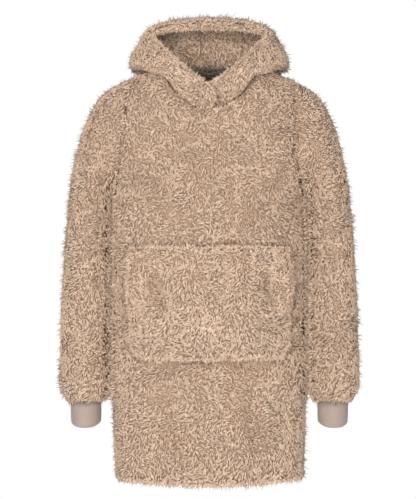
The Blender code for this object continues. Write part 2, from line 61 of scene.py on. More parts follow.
# Locks of pile.
LOCK_LENGTH = 0.0140
LOCK_WIDTH = 0.0031
SWIRL_SIZE = 0.050  # how far apart the pile changes direction
TUFT_SIZE = 0.014
SWIRL_TURNS, TUFT_TURNS = 0.95, 0.40  # how far the way of the pile turns, in half turns
OWN_TURN = 0.70  # spread of single locks about the way of the pile, in radians
OWN_SHADE = 0.40  # spread of single locks from dark to pale
FLYAWAY_SHARE = 0.18  # locks that stand out of the rest
FLYAWAY_RISE = 1.60
BESIDE_REACH = 0.026  # pile stands up towards a panel that lies this close beside it
BESIDE_MIDDLE_Y = -0.005
BESIDE_PAINTED_LIGHT = 0.16  # painted light: the pile there is painted paler, for the little light that comes between the two
EDGE_SPACING = 0.0016  # between the locks that overhang a free edge
RIM_REACH, RIM_SHADE = 0.020, 0.45  # painted shade on the lining near the hood's rim, which shades it
FACING_CLEAR, FACING_LENGTH = 0.004, 0.6  # pile on the hood's inside, beside its lining
EDGE_REACH, EDGE_TRIM = 0.014, 0.60  # where and how much the hood's pile is trimmed
PLANE_STEPS = (0.7548776662, 0.5698402910)  # steps that fill a triangle without clumps

# Colours, in linear light.
# The pile's colour runs from PILE_DARK to PILE_LIGHT: the locks' own tone, and painted shade
# and light, move it along.
PILE_DARK = np.array([0.330, 0.175, 0.095])
PILE_LIGHT = np.array([0.850, 0.655, 0.495])
BACKING_DARK = (0.340, 0.195, 0.115, 1.0)
BACKING_LIGHT = (0.600, 0.430, 0.310, 1.0)
KNIT_COLOUR = (0.500, 0.365, 0.270, 1.0)
CUFF_SHADE_TOP = -0.733  # above this a cuff gets painted shade, for the sleeve's shade over it
CUFF_COLOUR = (0.365, 0.285, 0.240, 1.0)
SHEEN_COLOUR = (1.0, 0.86, 0.74, 1.0)
LINING_PAINTED_LIFT, LINING_PAINTED_GAIN = 0.25, 1.15  # painted light: the lining's pile is painted paler than the outside, for the light that hardly reaches into the hood
# Painted shade down inside the neck: its top, how fast it fades, its slope and how dark it
# gets.
NECK_TOP, NECK_FADE, NECK_SLOPE, NECK_PAINTED_SHADE = 0.003, 0.020, 0.15, 0.85

Panel = namedtuple(
    "Panel",
    "node slot centre inward wall density fringe flat area held sewn_to under beside"
)
FLEECE_NODES = ("body_front", "body_back", "sleeve_left", "sleeve_right",
                "hood_left", "hood_right")
ARMS = ("sleeve_left", "sleeve_right")
TRUNK = ("body_front", "body_back")
# Upright lines inside the garment: x, y and the heights of both ends.
BODY_AXIS = (0.0, 0.0, -1.0, 0.1)
LEFT_ARM_AXIS = (0.262, -0.006, -1.0, -0.190)
RIGHT_ARM_AXIS = (-0.262, -0.006, -1.0, -0.190)
HOOD_CENTRE = (0.0, 0.045, 0.030, 0.030)
LININGS = ("hood_lining_left", "hood_lining_right")
PANELS = (
    Panel("body_front", "teddy_fleece", BODY_AXIS, False, 0.009, 65000, 0.8,
          (0.60, 0.90), 0.470, "hung", FLEECE_NODES, ("pocket",), ARMS),
    Panel("body_back", "teddy_fleece", BODY_AXIS, False, 0.009, 60000, 0.8,
          (0.58, 0.90), 0.480, "hung", FLEECE_NODES, (), ARMS),
    Panel("sleeve_left", "teddy_fleece", LEFT_ARM_AXIS, False, 0.009, 66000, 0.8,
          (0.52, 0.66), 0.270, "hung", FLEECE_NODES, (), TRUNK),
    Panel("sleeve_right", "teddy_fleece", RIGHT_ARM_AXIS, False, 0.009, 66000, 0.8,
          (0.52, 0.66), 0.270, "hung", FLEECE_NODES, (), TRUNK),
    Panel("hood_left", "teddy_fleece", HOOD_CENTRE, False, 0.009, 88000, 0.50,
          (0.42, 0.33), 0.100, "draped", FLEECE_NODES, (), ()),
    Panel("hood_right", "teddy_fleece", HOOD_CENTRE, False, 0.009, 88000, 0.50,
          (0.42, 0.33), 0.100, "draped", FLEECE_NODES, (), ()),
    Panel("pocket", "teddy_fleece", BODY_AXIS, False, 0.009, 86000, 0.6,
          (0.40, 0.24), 0.094, "stretched", ("body_front",), (), ()),
    Panel("hood_lining_left", "hood_lining_fleece", HOOD_CENTRE, True, 0.006, 80000, 0.4,
          (0.33, 0.25), 0.058, "draped", LININGS, (), ()),
    Panel("hood_lining_right", "hood_lining_fleece", HOOD_CENTRE, True, 0.006, 80000, 0.4,
          (0.33, 0.25), 0.058, "draped", LININGS, (), ()),
)

# Soft creases and ridges: a stretch from start to end, how wide it is and how deep. A
# negative depth is a trough. Each one shapes the panels whose names begin with its own.
# Troughs also darken the pile as painted shade, and ridges pale it as painted light.
Crease = namedtuple("Crease", "panel start end width depth")
CREASES = (
    Crease("pocket", (-0.085, -0.175, -0.402), (-0.040, -0.180, -0.400), 0.016, 0.006),
    Crease("pocket", (0.055, -0.178, -0.402), (0.095, -0.172, -0.401), 0.016, 0.005),
    Crease("pocket", (-0.155, -0.150, -0.412), (0.160, -0.150, -0.412), 0.014, 0.003),
    Crease("pocket", (-0.116, -0.168, -0.470), (-0.108, -0.168, -0.510), 0.030, -0.007),
    Crease("pocket", (0.118, -0.168, -0.468), (0.126, -0.165, -0.505), 0.030, -0.007),
    Crease("pocket", (-0.020, -0.190, -0.560), (0.070, -0.188, -0.585), 0.040, 0.004),
    Crease("body_front", (-0.155, -0.14, -0.630), (-0.100, -0.15, -0.640), 0.012, -0.009),
    Crease("body_front", (-0.100, -0.15, -0.640), (-0.065, -0.16, -0.643), 0.013, -0.010),
    Crease("body_front", (-0.100, -0.15, -0.650), (-0.035, -0.16, -0.650), 0.026, -0.004),
    Crease("body_front", (0.045, -0.16, -0.644), (0.108, -0.15, -0.642), 0.013, -0.010),
    Crease("body_front", (0.055, -0.16, -0.652), (0.120, -0.15, -0.650), 0.026, -0.004),
    Crease("body_front", (0.108, -0.15, -0.640), (0.156, -0.14, -0.632), 0.012, -0.009),
    Crease("body_front", (-0.172, -0.12, -0.435), (-0.170, -0.12, -0.515), 0.011, -0.006),
    Crease("body_front", (0.175, -0.12, -0.435), (0.173, -0.12, -0.570), 0.011, -0.006),
    Crease("body_front", (-0.16, -0.12, -0.250), (-0.07, -0.15, -0.330), 0.036, -0.005),
    Crease("body_front", (0.17, -0.11, -0.235), (0.08, -0.15, -0.350), 0.034, -0.005),
    Crease("body_front", (-0.05, -0.15, -0.200), (0.03, -0.15, -0.270), 0.040, -0.003),
    Crease("body_front", (-0.10, -0.15, -0.700), (-0.06, -0.15, -0.840), 0.034, -0.004),
    Crease("body_front", (0.06, -0.16, -0.690), (0.10, -0.15, -0.800), 0.036, -0.004),
    Crease("body_back", (-0.17, 0.11, -0.240), (-0.05, 0.14, -0.360), 0.038, -0.006),
    Crease("body_back", (0.16, 0.12, -0.260), (0.06, 0.14, -0.420), 0.040, -0.005),
    Crease("body_back", (-0.03, 0.15, -0.500), (0.04, 0.15, -0.680), 0.045, -0.005),
    Crease("sleeve_left", (0.235, -0.09, -0.330), (0.310, -0.05, -0.290), 0.026, -0.005),
    Crease("sleeve_left", (0.230, -0.08, -0.450), (0.318, -0.04, -0.415), 0.024, -0.004),
    Crease("sleeve_left", (0.240, -0.08, -0.600), (0.322, -0.05, -0.575), 0.024, -0.004),
    Crease("sleeve_left", (0.230, 0.08, -0.400), (0.315, 0.05, -0.350), 0.028, -0.005),
    Crease("sleeve_left", (0.235, 0.07, -0.560), (0.322, 0.03, -0.600), 0.026, -0.005),
    Crease("sleeve_right", (-0.240, -0.09, -0.300), (-0.312, -0.05, -0.340), 0.026, -0.005),
    Crease("sleeve_right", (-0.230, -0.08, -0.480), (-0.318, -0.04, -0.440), 0.026, -0.005),
    Crease("sleeve_right", (-0.245, -0.08, -0.640), (-0.322, -0.05, -0.610), 0.024, -0.004),
    Crease("sleeve_right", (-0.230, 0.08, -0.370), (-0.315, 0.05, -0.410), 0.028, -0.005),
    Crease("sleeve_right", (-0.235, 0.07, -0.530), (-0.322, 0.03, -0.580), 0.026, -0.005),
    Crease("hood_left", (0.000, -0.040, 0.068), (0.105, -0.050, 0.058), 0.016, -0.006),
    Crease("hood_right", (0.000, -0.040, 0.068), (-0.105, -0.050, 0.058), 0.016, -0.006),
    Crease("hood_left", (0.100, 0.090, 0.100), (0.140, 0.120, 0.040), 0.028, -0.005),
    Crease("hood_right", (-0.080, 0.120, 0.100), (-0.130, 0.130, 0.030), 0.030, -0.006),
    Crease("hood_lining", (-0.040, 0.180, 0.055), (-0.030, 0.185, 0.015), 0.026, 0.007),
    Crease("hood_lining", (0.035, 0.180, 0.050), (0.045, 0.180, 0.010), 0.028, 0.006),
)

# How the pile is combed in places: within this reach of a point it lies this way, or
# fans out from the point where no way is given.
Comb = namedtuple("Comb", "panel centre reach towards strength")
COMBS = (
    Comb("pocket", (-0.095, -0.170, -0.555), 0.110, (-0.85, 0.0, -0.5), 0.80),
    Comb("pocket", (0.100, -0.170, -0.555), 0.110, (0.85, 0.0, -0.5), 0.80),
    Comb("pocket", (0.003, -0.185, -0.580), 0.075, (0.0, 0.0, -1.0), 0.70),
    Comb("body_front", (0.0, -0.150, -0.300), 0.120, (0.3, 0.0, -1.0), 0.30),
    Comb("body_front", (-0.165, -0.120, -0.400), 0.130, (-0.6, 0.0, -0.8), 0.60),
    Comb("body_front", (0.165, -0.120, -0.400), 0.130, (0.6, 0.0, -0.8), 0.60),
    Comb("sleeve_left", (0.235, -0.080, -0.300), 0.060, (0.7, 0.0, -0.7), 0.70),
    Comb("sleeve_right", (-0.235, -0.080, -0.300), 0.060, (-0.7, 0.0, -0.7), 0.70),
    Comb("sleeve_left", (0.300, -0.050, -0.480), 0.120, (0.6, 0.2, -0.8), 0.65),
    Comb("sleeve_right", (-0.300, -0.050, -0.480), 0.120, (-0.6, 0.2, -0.8), 0.65),
    Comb("sleeve_left", (0.222, -0.070, -0.520), 0.110, (-0.6, 0.0, -0.8), 0.65),
    Comb("sleeve_right", (-0.222, -0.070, -0.520), 0.110, (0.6, 0.0, -0.8), 0.65),
    Comb("hood_right", (-0.075, -0.120, -0.040), 0.085, (1.0, 0.0, 0.25), 0.85),
    Comb("hood_left", (0.075, -0.120, -0.040), 0.085, (-0.6, 0.0, -0.8), 0.80),
    Comb("hood_right", (-0.010, -0.150, -0.085), 0.040, (0.3, 0.0, -1.0), 0.70),
    Comb("hood_lining_left", (0.0, 0.180, 0.020), 0.060, (0.2, 0.0, -1.0), 0.80),
    Comb("hood_lining_right", (0.0, 0.180, 0.020), 0.060, (-0.2, 0.0, -1.0), 0.80),
)

Sheet = namedtuple("Sheet", "points normals faces seams free_edges")
# A root's shade is the painted shade and light that it carries into its lock's colour.
Roots = namedtuple("Roots", "points normals lean low long stand shade")


def unit(vectors):
    length = np.linalg.norm(vectors, axis=-1, keepdims=True)
    return vectors / np.maximum(length, 1e-12)


def smooth_step(value):
    t = np.clip(value, 0.0, 1.0)
    return t * t * (3 - 2 * t)


def lattice_value(cells, seed):
    """A repeatable number from 0 to 1 for each whole-number cell."""
    x, y, z = (cells[..., i].astype(np.int64) for i in range(3))
    mixed = x * 73856093 ^ y * 19349663 ^ z * 83492791 ^ seed * 2654435761
    mixed = (mixed ^ (mixed >> 13)) * 1274126177
    return ((mixed ^ (mixed >> 16)) & 0xFFFF) / 65535.0


def noise(points, size, seed):
    """Smooth noise from 0 to 1 that changes over about this size."""
    scaled = points / size
    cell = np.floor(scaled)
    t = smooth_step(scaled - cell)
    total = np.zeros(len(points))
    for corner in np.ndindex(2, 2, 2):
        weight = np.prod(np.where(corner, t, 1 - t), axis=1)
        total += weight * lattice_value(cell + corner, seed)
    return total


def away_from(points, line):
    """Directions from the nearest point of an upright line inside the garment."""
    x, y, low, high = line
    height = np.clip(points[:, 2], low, high)
    nearest = np.stack([np.full(len(points), x), np.full(len(points), y), height], axis=1)
    return unit(points - nearest)


def crease_offset(name, points):
    """How far the creases lift or sink a panel at these points."""
    offset = np.zeros(len(points))
    for crease in CREASES:
        if not name.startswith(crease.panel):
            continue
        start, end = np.array(crease.start), np.array(crease.end)
        along = np.clip((points - start) @ (end - start) / np.sum((end - start) ** 2), 0, 1)
        nearest = start + along[:, None] * (end - start)
        distance = np.linalg.norm(points - nearest, axis=1)
        offset += crease.depth * smooth_step(1 - distance / crease.width)
    return offset


def node_tree(node):
    """The node's merged mesh, with a search tree on it."""
    solid = bmesh.new()
    solid.from_mesh(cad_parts[node].data)
    bmesh.ops.remove_doubles(solid, verts=solid.verts, dist=1e-5)
    solid.faces.ensure_lookup_table()
    return solid, BVHTree.FromBMesh(solid)


def visible_side(panel, inward):
    """The outer or inner side of a panel's wall, as a mesh of mostly four-sided faces."""
    side, tree = node_tree(panel.node)
    side.normal_update()
    centres = np.array([face.calc_center_median() for face in side.faces])
    outward = away_from(centres, panel.centre)
    leave = []
    for face, centre, out in zip(side.faces, centres, outward):
        start = Vector(centre) - face.normal * 0.0003
        distance = tree.ray_cast(start, -face.normal)[3]
        across_wall = distance is not None and distance < panel.wall * 1.7
        if not across_wall or (face.normal.dot(Vector(out)) > 0) == inward:
            leave.append(face)
    bmesh.ops.delete(side, geom=leave, context="FACES")
    bmesh.ops.join_triangles(
        side, faces=side.faces, angle_face_threshold=math.pi, angle_shape_threshold=math.pi
    )
    mesh = bpy.data.meshes.new("side")
    side.to_mesh(mesh)
    side.free()
    return mesh


def subdivided(mesh, levels):
    """Points, outward directions and triangles of the mesh made smoother."""
    piece = bpy.data.objects.new("side", mesh)
    bpy.context.scene.collection.objects.link(piece)
    smoother = piece.modifiers.new("smooth", "SUBSURF")
    smoother.levels = smoother.render_levels = levels
    smoother.boundary_smooth = "PRESERVE_CORNERS"
    graph = bpy.context.evaluated_depsgraph_get()
    result = piece.evaluated_get(graph).to_mesh()
    result.calc_loop_triangles()
    points = np.zeros(len(result.vertices) * 3)
    result.vertices.foreach_get("co", points)
    normals = np.zeros(len(result.vertices) * 3)
    result.vertices.foreach_get("normal", normals)
    faces = np.zeros(len(result.loop_triangles) * 3, int)
    result.loop_triangles.foreach_get("vertices", faces)
    bpy.data.objects.remove(piece)
    return points.reshape(-1, 3), normals.reshape(-1, 3), faces.reshape(-1, 3)


def boundary_edges(faces):
    """Edges with a face on one side alone, in that face's direction."""
    edges = np.concatenate([faces[:, [0, 1]], faces[:, [1, 2]], faces[:, [2, 0]]])
    key = np.sort(edges, axis=1)
    _, first, count = np.unique(key, axis=0, return_index=True, return_counts=True)
    return edges[first[count == 1]]


def read_sheet(panel, inward, levels):
    """A panel's visible side, creased, with its sewn and its free edges."""
    points, normals, faces = subdivided(visible_side(panel, inward), levels)
    points = points + normals * crease_offset(panel.node, points)[:, None]
    edges = boundary_edges(faces)
    middles = points[edges].mean(axis=1)
    trees = [TREES[name] for name in panel.sewn_to if name != panel.node]
    sewn = np.array(
        [
            any(tree.find_nearest(Vector(p), SEAM_FIND)[0] is not None for tree in trees)
            for p in middles
        ]
    )
    return Sheet(points, normals, faces, points[edges[sewn]], edges[~sewn])


def seam_distance(points, seams):
    """Distance from each point to the nearest sewn edge."""
    if not len(seams):
        return np.full(len(points), 1.0)
    best = np.full(len(points), 1.0)
    for start, end in seams:
        along = end - start
        t = np.clip((points - start) @ along / max(along @ along, 1e-12), 0, 1)
        nearest = start + t[:, None] * along
        best = np.minimum(best, np.linalg.norm(points - nearest, axis=1))
    return best


def spread_roots(sheet, density, random):
    """Roots spread evenly over a sheet by area, with the golden ratio's plane steps."""
    corners = sheet.points[sheet.faces]
    area = 0.5 * np.linalg.norm(
        np.cross(corners[:, 1] - corners[:, 0], corners[:, 2] - corners[:, 0]), axis=1
    )
    count = int(area.sum() * density)
    share = np.cumsum(area) / area.sum()
    pick = np.searchsorted(share, (np.arange(count) + random.random(count)) / count)
    pick = np.minimum(pick, len(area) - 1)
    u, v = ((np.arange(count) * step) % 1.0 for step in PLANE_STEPS)
    flip = u + v > 1
    u, v = np.where(flip, 1 - u, u), np.where(flip, 1 - v, v)
    weights = np.stack([1 - u - v, u, v], axis=1)[:, :, None]
    points = (corners[pick] * weights).sum(axis=1)
    normals = unit((sheet.normals[sheet.faces][pick] * weights).sum(axis=1))
    low = smooth_step(seam_distance(points, sheet.seams) / SEAM_REACH)
    none = np.zeros(count)
    return Roots(points, normals, np.zeros((count, 3)), low, np.ones(count), none, none.copy())


def edge_roots(sheet, rows, long, random):
    """Roots along the free edges, whose locks lean out over them."""
    start, end = (sheet.points[sheet.free_edges[:, i]] for i in (0, 1))
    normal = unit(sheet.normals[sheet.free_edges].sum(axis=1))
    outward = unit(np.cross(end - start, normal))
    length = np.linalg.norm(end - start, axis=1)
    number = np.maximum(1, np.round(length / EDGE_SPACING).astype(int)) * rows
    pick = np.repeat(np.arange(len(length)), number)
    t = random.random(len(pick))[:, None]
    down = random.random(len(pick))[:, None]
    points = start[pick] * (1 - t) + end[pick] * t - outward[pick] * 0.002
    tilt = unit(normal[pick] * (0.75 - 1.1 * down) + outward[pick] * 0.8)
    points = points - normal[pick] * down * 0.006
    full = np.ones(len(pick))
    return Roots(points, tilt, outward[pick] * 1.6, full, full * long, full * 0.0, full * 0.0)


def joined(parts):
    return Roots(*(np.concatenate(columns) for columns in zip(*parts)))


def kept(roots, keep):
    return Roots(*(column[keep] for column in roots))


def uncovered(roots, names):
    """Leaves out the roots that another piece lies close over, and paints shade on those beside
    it.
    """
    keep = np.ones(len(roots.points), bool)
    for name in names:
        tree = TREES[name]
        for i, (point, normal) in enumerate(zip(roots.points, roots.normals)):
            if keep[i]:
                hit = tree.ray_cast(Vector(point), Vector(normal), COVER_REACH)[3]
                keep[i] = hit is None
            # Painted shade on the pile just beside the other piece's edge.
            gap = tree.find_nearest(Vector(point), CONTACT_REACH)[3]
            if gap is not None:
                roots.shade[i] -= CONTACT_SHADE * (1 - gap / CONTACT_REACH)
    return kept(roots, keep)


def shorter_at_edges(roots, sheet):
    """Shortens the pile of the hood near its free edges."""
    edges = sheet.points[sheet.free_edges]
    near = 1 - smooth_step(seam_distance(roots.points, edges) / EDGE_REACH)
    roots.long[:] *= 1 - EDGE_TRIM * near


def combed(name, points, lay, normals):
    """Turns the pile's way towards those of the combs that reach a panel."""
    for comb in COMBS:
        if comb.panel != name:
            continue
        away = points - np.array(comb.centre)
        towards = unit(away) if comb.towards is None else unit(np.array(comb.towards))
        share = smooth_step(1.4 * (1 - np.linalg.norm(away, axis=1) / comb.reach))
        share = (share * comb.strength)[:, None]
        level = towards - normals * np.sum(normals * towards, axis=1, keepdims=True)
        lay = unit(lay * (1 - share) + level * share)
    return lay


def stood_up(roots, names):
    """Raises the pile between two panels that hang close together, leans it out, and paints it
    paler as painted light.
    """
    for name in names:
        tree = TREES[name]
        for i, (point, normal) in enumerate(zip(roots.points, roots.normals)):
            hit = tree.ray_cast(Vector(point), Vector(normal), BESIDE_REACH)[3]
            if hit is None:
                continue
            near = 1 - hit / BESIDE_REACH
            roots.stand[i] = max(roots.stand[i], min(1.0, 2.5 * near))
            roots.lean[i, 1] = math.copysign(roots.stand[i], point[1] - BESIDE_MIDDLE_Y)
            # Painted light, for the little light that comes in between the two panels.
            roots.shade[i] += BESIDE_PAINTED_LIGHT * roots.stand[i]
    return roots


def lay_direction(name, points, normals):
    """The way the pile lies: downwards, turned by slow swirls and quick tufts."""
    down = np.array([0.0, 0.0, -1.0]) - normals * (-normals[:, 2:3])
    level = np.array([0.0, 1.0, 0.0]) - normals * normals[:, 1:2]
    flat_top = smooth_step((np.abs(normals[:, 2:3]) - 0.75) / 0.2)
    down = unit(down * (1 - flat_top) + level * flat_top)
    side = np.cross(normals, down)
    swirl = (noise(points, SWIRL_SIZE, 3) - 0.5) * 2 * math.pi * SWIRL_TURNS
    tuft = (noise(points, TUFT_SIZE, 7) - 0.5) * 2 * math.pi * TUFT_TURNS
    base = unit(down * np.cos(swirl)[:, None] + side * np.sin(swirl)[:, None])
    base = combed(name, points, base, normals)
    side = np.cross(normals, base)
    return base * np.cos(tuft)[:, None] + side * np.sin(tuft)[:, None]


def seam_shade(panel, roots):
    """Broken lines of painted shade at the seams, faint over the crown and on the shoulders."""
    x, _, z = roots.points.T
    line = SEAM_SHADE * (1 - roots.low) ** 4
    broken = 0.30 + 0.70 * smooth_step((noise(roots.points, 0.011, 23) - 0.25) / 0.4)
    if panel.node.startswith("hood"):
        quiet = smooth_step((0.030 - np.abs(x)) / 0.015) * smooth_step((z + 0.04) / 0.02)
    else:
        quiet = smooth_step((np.abs(x) - 0.10) / 0.02) * smooth_step((z + 0.095) / 0.02)
    return line * broken * (1 - 0.9 * quiet)


def lock_mesh(panel, roots, pile, random):
    """Points, triangles and shades of curled locks that grow from these roots.

    Each lock is a spindle: a root, a three-cornered middle and a tip off to one side.
    """
    count = len(roots.points)
    share = SEAM_PILE + (1 - SEAM_PILE) * roots.low
    height = pile * share * (0.85 + 0.30 * random.random(count))
    lay = unit(lay_direction(panel.node, roots.points, roots.normals) + roots.lean)
    spread = (random.random(count) - 0.5)[:, None] * OWN_TURN
    side = unit(np.cross(roots.normals, lay))
    lay = unit(lay + side * spread)
    side = unit(np.cross(roots.normals, lay))
    reach = LOCK_LENGTH * (0.55 + 0.75 * random.random(count)) * roots.long
    reach = reach * (0.45 + 0.55 * share) * (1 - 0.35 * roots.stand)
    curl = (random.random(count) - 0.5) * 0.75 * reach
    rise = 0.55 + 0.80 * random.random(count) + 0.8 * roots.stand * random.random(count)
    flyaway = random.random(count) < FLYAWAY_SHARE
    rise = np.where(flyaway, rise + FLYAWAY_RISE * random.random(count), rise)
    reach = np.where(flyaway, reach * 0.8, reach)
    base = roots.points - roots.normals * (pile * share + 0.0006)[:, None]
    middle = (
        base
        + roots.normals * (height * (0.80 + 0.65 * roots.stand))[:, None]
        + lay * (reach * 0.42)[:, None]
        + side * curl[:, None]
    )
    tip = base + roots.normals * (height * rise)[:, None] + lay * reach[:, None]
    half = (LOCK_WIDTH * (0.70 + 0.60 * random.random(count)) / 2)[:, None]
    forward = unit(tip - base)
    across = unit(np.cross(roots.normals, forward))
    up = np.cross(forward, across)
    points = np.stack(
        [base, middle - across * half, middle + across * half, middle + up * half * 0.9, tip],
        axis=1,
    )
    pattern = np.array([(0, 2, 1), (0, 3, 2), (0, 1, 3), (4, 1, 2), (4, 2, 3), (4, 3, 1)])
    faces = (np.arange(count) * 5)[:, None, None] + pattern[None]
    own = OWN_SHADE * (random.random(count) - 0.5)
    patch = 0.10 * (noise(roots.points, 0.035, 11) - 0.5)
    # Painted light: the lining's locks are lifted towards pale.
    if pile == LINING_PILE:
        own = own + LINING_PAINTED_LIFT
    # The roots' own painted shade and light, less the painted shade at the seams.
    seam = roots.shade - seam_shade(panel, roots)
    # Painted shade in the creases' troughs and painted light on their ridges.
    trough = 34.0 * np.clip(crease_offset(panel.node, roots.points), -0.009, 0.005)
    # Painted shade and light over each lock: dark at the root, darker on its two sides than on
    # its top, palest at the tip.
    ring_shade = np.array([0.15, 0.48, 0.48, 0.70, 0.86])
    shade = ring_shade[None] + (own + patch + seam + trough)[:, None]
    return points.reshape(-1, 3), faces.reshape(-1, 3), np.clip(shade, 0, 1).ravel()


def mesh_piece(name, points, faces, materials):
    mesh = bpy.data.meshes.new(name)
    mesh.vertices.add(len(points))
    mesh.vertices.foreach_set("co", points.astype(np.float32).ravel())
    mesh.loops.add(faces.size)
    mesh.loops.foreach_set("vertex_index", faces.astype(np.int32).ravel())
    mesh.polygons.add(len(faces))
    mesh.polygons.foreach_set("loop_start", np.arange(0, faces.size, 3, dtype=np.int32))
    mesh.update(calc_edges=True)
    mesh.shade_smooth()
    for material in materials:
        mesh.materials.append(material)
    piece = bpy.data.objects.new(name, mesh)
    bpy.context.scene.collection.objects.link(piece)
    return piece


def neck_shade(points, lining):
    """A painted shade, from 1 in the open to almost 0 down inside the neck, where hardly any
    light comes.
    """
    x, y, z = points.T
    deep = smooth_step((NECK_TOP - (z - NECK_SLOPE * y)) / NECK_FADE)
    if lining:
        deep *= smooth_step((y + 0.100) / 0.03)
    else:
        deep *= smooth_step((y + 0.075) / 0.03) * smooth_step((0.120 - y) / 0.02)
        deep *= smooth_step((0.085 - np.abs(x)) / 0.02) * smooth_step((z + 0.10) / 0.03)
    return 1 - NECK_PAINTED_SHADE * deep


def pile_piece(name, panel, roots, pile, random, material):
    """The pile of a panel, each point coloured from its dark root to its pale tip, as painted
    shade and light.
    """
    points, faces, shade = lock_mesh(panel, roots, pile, random)
    piece = mesh_piece(name, points, faces, [material])
    colour = PILE_DARK + (PILE_LIGHT - PILE_DARK) * shade[:, None]
    lining = pile == LINING_PILE
    # Painted light on the lining, and painted shade down inside the neck.
    colour *= ((LINING_PAINTED_GAIN if lining else 1.0) * neck_shade(points, lining))[:, None]
    attribute = piece.data.color_attributes.new("pile_colour", "FLOAT_COLOR", "POINT")
    rgba = np.concatenate([colour, np.ones((len(colour), 1))], axis=1)
    attribute.data.foreach_set("color", rgba.astype(np.float32).ravel())
    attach(piece, "root")
    return piece


def add_shade(piece, shade):
    """Stores the painted shade at each point of a cloth, for its material."""
    attribute = piece.data.color_attributes.new("cloth_shade", "FLOAT_COLOR", "POINT")
    rgba = np.stack([shade, shade, shade, np.ones(len(shade))], axis=1)
    attribute.data.foreach_set("color", rgba.astype(np.float32).ravel())


def cloth_piece(name, sheet, pile, backing, materials):
    """The backing under the pile, a thin closed wall with a knitted inner face."""
    low = smooth_step(seam_distance(sheet.points, sheet.seams) / SEAM_REACH)
    depth = pile * (SEAM_PILE + (1 - SEAM_PILE) * low)
    outer = sheet.points - sheet.normals * depth[:, None]
    inner = outer - sheet.normals * backing
    edges = boundary_edges(sheet.faces)
    count = len(outer)
    rim = np.concatenate(
        [
            np.stack([edges[:, 1], edges[:, 0], edges[:, 0] + count], axis=1),
            np.stack([edges[:, 1], edges[:, 0] + count, edges[:, 1] + count], axis=1),
        ]
    )
    faces = np.concatenate([sheet.faces, sheet.faces[:, ::-1] + count, rim])
    piece = mesh_piece(name, np.concatenate([outer, inner]), faces, materials)
    # Painted shade down inside the neck, on both faces of the cloth.
    shade = neck_shade(np.concatenate([outer, inner]), pile == LINING_PILE)
    add_shade(piece, shade)
    knit = np.zeros(len(faces), np.int32)
    knit[len(sheet.faces) :] = 1
    piece.data.polygons.foreach_set("material_index", knit)
    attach(piece, "root")
    return piece


def material_base(name):
    material = bpy.data.materials.new(name)
    material.use_nodes = True
    tree = material.node_tree
    return material, tree, tree.nodes["Principled BSDF"]


def add_node(tree, kind, **inputs):
    node = tree.nodes.new(kind)
    for name, value in inputs.items():
        node.inputs[name.replace("_", " ")].default_value = value
    return node


def fleece_pile_material():
    material, tree, shader = material_base("teddy_pile")
    colour = tree.nodes.new("ShaderNodeVertexColor")
    colour.layer_name = "pile_colour"
    place = tree.nodes.new("ShaderNodeTexCoord")
    fibre = add_node(tree, "ShaderNodeTexNoise", Scale=900.0, Detail=2.0)
    fibre_range = add_node(tree, "ShaderNodeMapRange", To_Min=0.86, To_Max=1.12)
    shade = tree.nodes.new("ShaderNodeMix")
    shade.data_type = "RGBA"
    shade.blend_type = "MULTIPLY"
    shade.inputs["Factor"].default_value = 1.0
    bump = add_node(tree, "ShaderNodeBump", Strength=0.35, Distance=0.0006)
    link = tree.links.new
    link(place.outputs["Object"], fibre.inputs["Vector"])
    link(fibre.outputs["Fac"], fibre_range.inputs["Value"])
    link(colour.outputs["Color"], shade.inputs["A"])
    link(fibre_range.outputs["Result"], shade.inputs["B"])
    link(shade.outputs["Result"], shader.inputs["Base Color"])
    link(fibre.outputs["Fac"], bump.inputs["Height"])
    link(bump.outputs["Normal"], shader.inputs["Normal"])
    shader.inputs["Roughness"].default_value = 0.82
    shader.inputs["Specular IOR Level"].default_value = 0.25
    shader.inputs["Sheen Weight"].default_value = 0.20
    shader.inputs["Sheen Roughness"].default_value = 0.45
    shader.inputs["Sheen Tint"].default_value = SHEEN_COLOUR
    return material


def shaded(tree, colour):
    """The colour multiplied by the painted shade that the cloth stores."""
    shade = tree.nodes.new("ShaderNodeVertexColor")
    shade.layer_name = "cloth_shade"
    mix = tree.nodes.new("ShaderNodeMix")
    mix.data_type = "RGBA"
    mix.blend_type = "MULTIPLY"
    mix.inputs["Factor"].default_value = 1.0
    tree.links.new(colour, mix.inputs["A"])
    tree.links.new(shade.outputs["Color"], mix.inputs["B"])
    return mix.outputs["Result"]


def fleece_backing_material():
    """Short under-pile between the locks: brown, mottled and rough."""
    material, tree, shader = material_base("teddy_under_pile")
    place = tree.nodes.new("ShaderNodeTexCoord")
    curls = add_node(tree, "ShaderNodeTexNoise", Scale=230.0, Detail=4.0, Distortion=2.5)
    ramp = tree.nodes.new("ShaderNodeValToRGB")
    ramp.color_ramp.elements[0].position = 0.30
    ramp.color_ramp.elements[0].color = BACKING_DARK
    ramp.color_ramp.elements[1].position = 0.70
    ramp.color_ramp.elements[1].color = BACKING_LIGHT
    bump = add_node(tree, "ShaderNodeBump", Strength=0.9, Distance=0.003)
    link = tree.links.new
    link(place.outputs["Object"], curls.inputs["Vector"])
    link(curls.outputs["Fac"], ramp.inputs["Fac"])
    link(shaded(tree, ramp.outputs["Color"]), shader.inputs["Base Color"])
    link(curls.outputs["Fac"], bump.inputs["Height"])
    link(bump.outputs["Normal"], shader.inputs["Normal"])
    shader.inputs["Roughness"].default_value = 0.95
    shader.inputs["Sheen Weight"].default_value = 0.2
    return material


